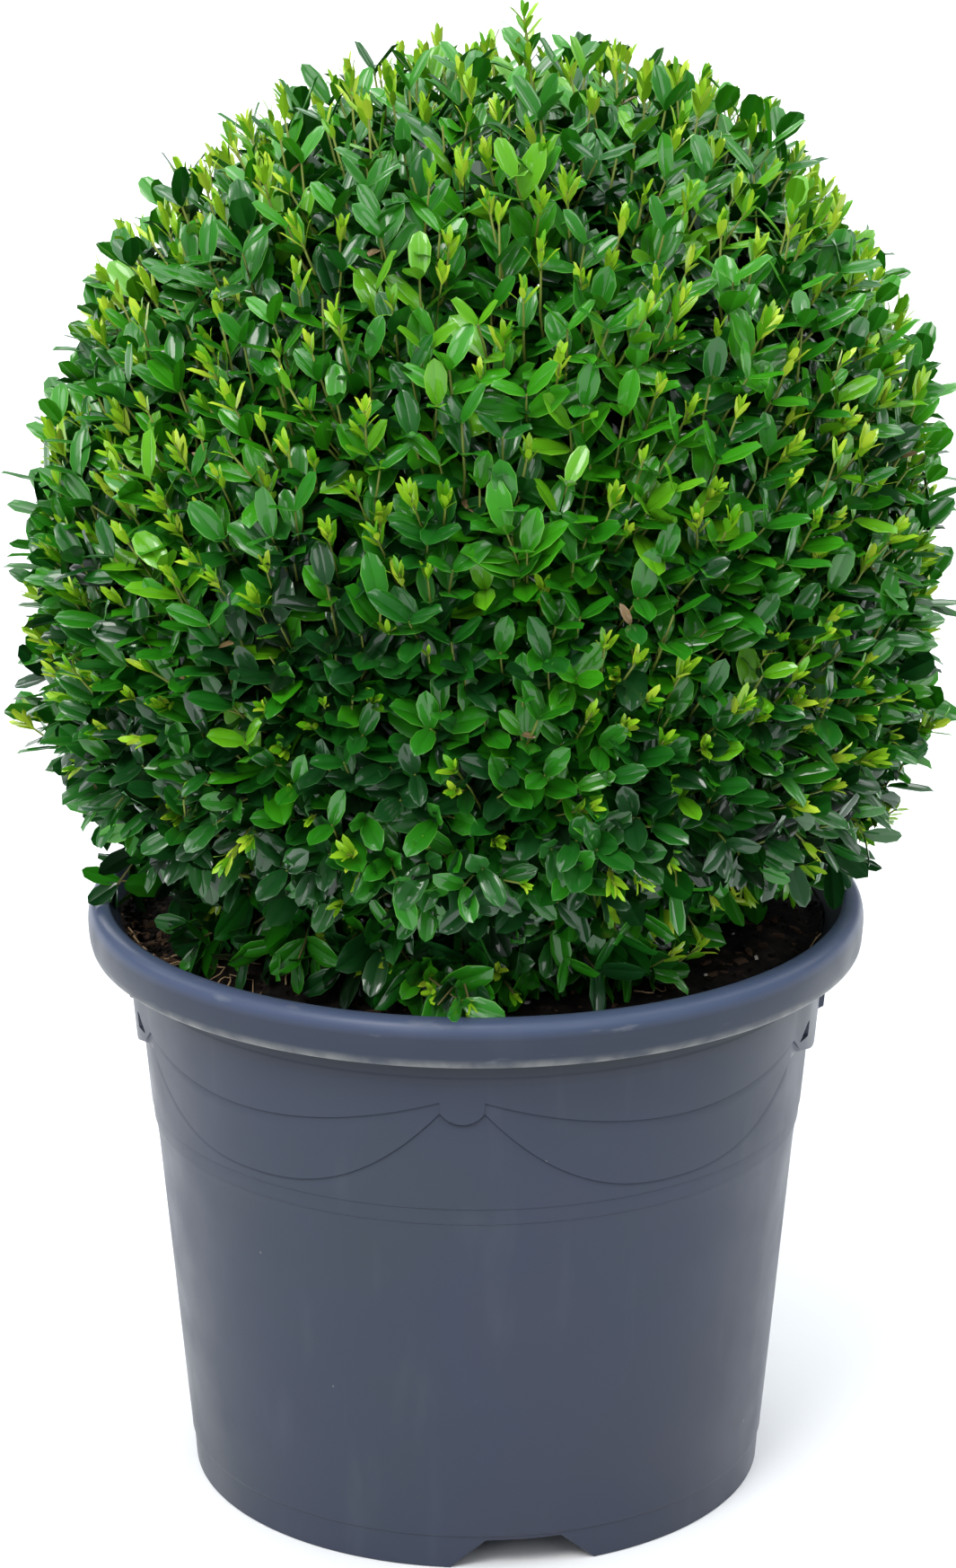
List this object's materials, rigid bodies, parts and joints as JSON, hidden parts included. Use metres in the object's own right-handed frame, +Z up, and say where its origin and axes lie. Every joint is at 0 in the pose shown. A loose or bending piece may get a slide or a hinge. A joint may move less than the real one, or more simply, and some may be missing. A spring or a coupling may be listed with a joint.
{
  "type": "potted box topiary ball",
  "caption": "Clipped ball of boxwood on a short stem, growing from its root ball in a tapered plastic nursery pot with a rolled rim.",
  "frame": {"origin": "on the ground, on the pot's axis, midway across the whole plant", "axes": "+Z up, front of the pot towards -Y, +X to the right seen from the front"},
  "size_m": [0.3954, 0.3795, 0.6228],
  "materials": {
    "pot": "satin blue-grey moulded plastic",
    "compost": "matte moist potting compost",
    "bark": "matte pale brown bark",
    "leaves": "glossy dark green leaves",
    "young_leaves": "satin yellow-green young leaves"
  },
  "bodies": {
    "root": {"pot": "pot", "root_ball": "compost", "stem": "bark", "bough_1": "bark", "bough_2": "bark", "bough_3": "bark", "bough_4": "bark", "bough_5": "bark", "bough_leader": "bark", "foliage_ball": "leaves", "spray_left_side": "leaves", "spray_right_side": "leaves", "spray_right_rim": "leaves", "spray_front_right": "leaves", "spray_front_low": "leaves", "shoot_top": "young_leaves"}
  },
  "joints": []
}
